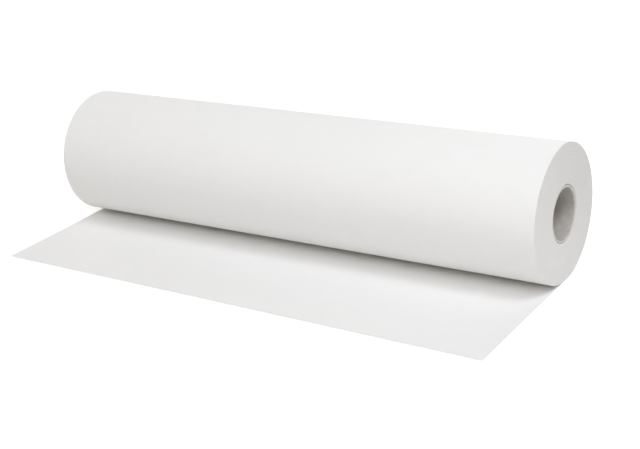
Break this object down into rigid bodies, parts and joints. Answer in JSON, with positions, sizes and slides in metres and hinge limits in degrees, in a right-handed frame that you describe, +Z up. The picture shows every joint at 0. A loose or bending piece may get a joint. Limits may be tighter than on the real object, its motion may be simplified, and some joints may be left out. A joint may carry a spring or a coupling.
{
  "type": "exam table paper roll",
  "caption": "Wide roll of plain white paper for covering an examination table, wound on a board core and lying on its side with its free end pulled out flat.",
  "frame": {"origin": "on the core's axis, half way along the roll", "axes": "+X along the core, +Z up; the free sheet lies towards -Y on the surface that the roll rests on"},
  "size_m": [0.5, 0.2147, 0.1186],
  "materials": {
    "paper": "matte uncoated white paper",
    "core_board": "matte grey board"
  },
  "bodies": {
    "root": {"paper_web": "paper", "core_tube": "core_board"}
  },
  "joints": []
}
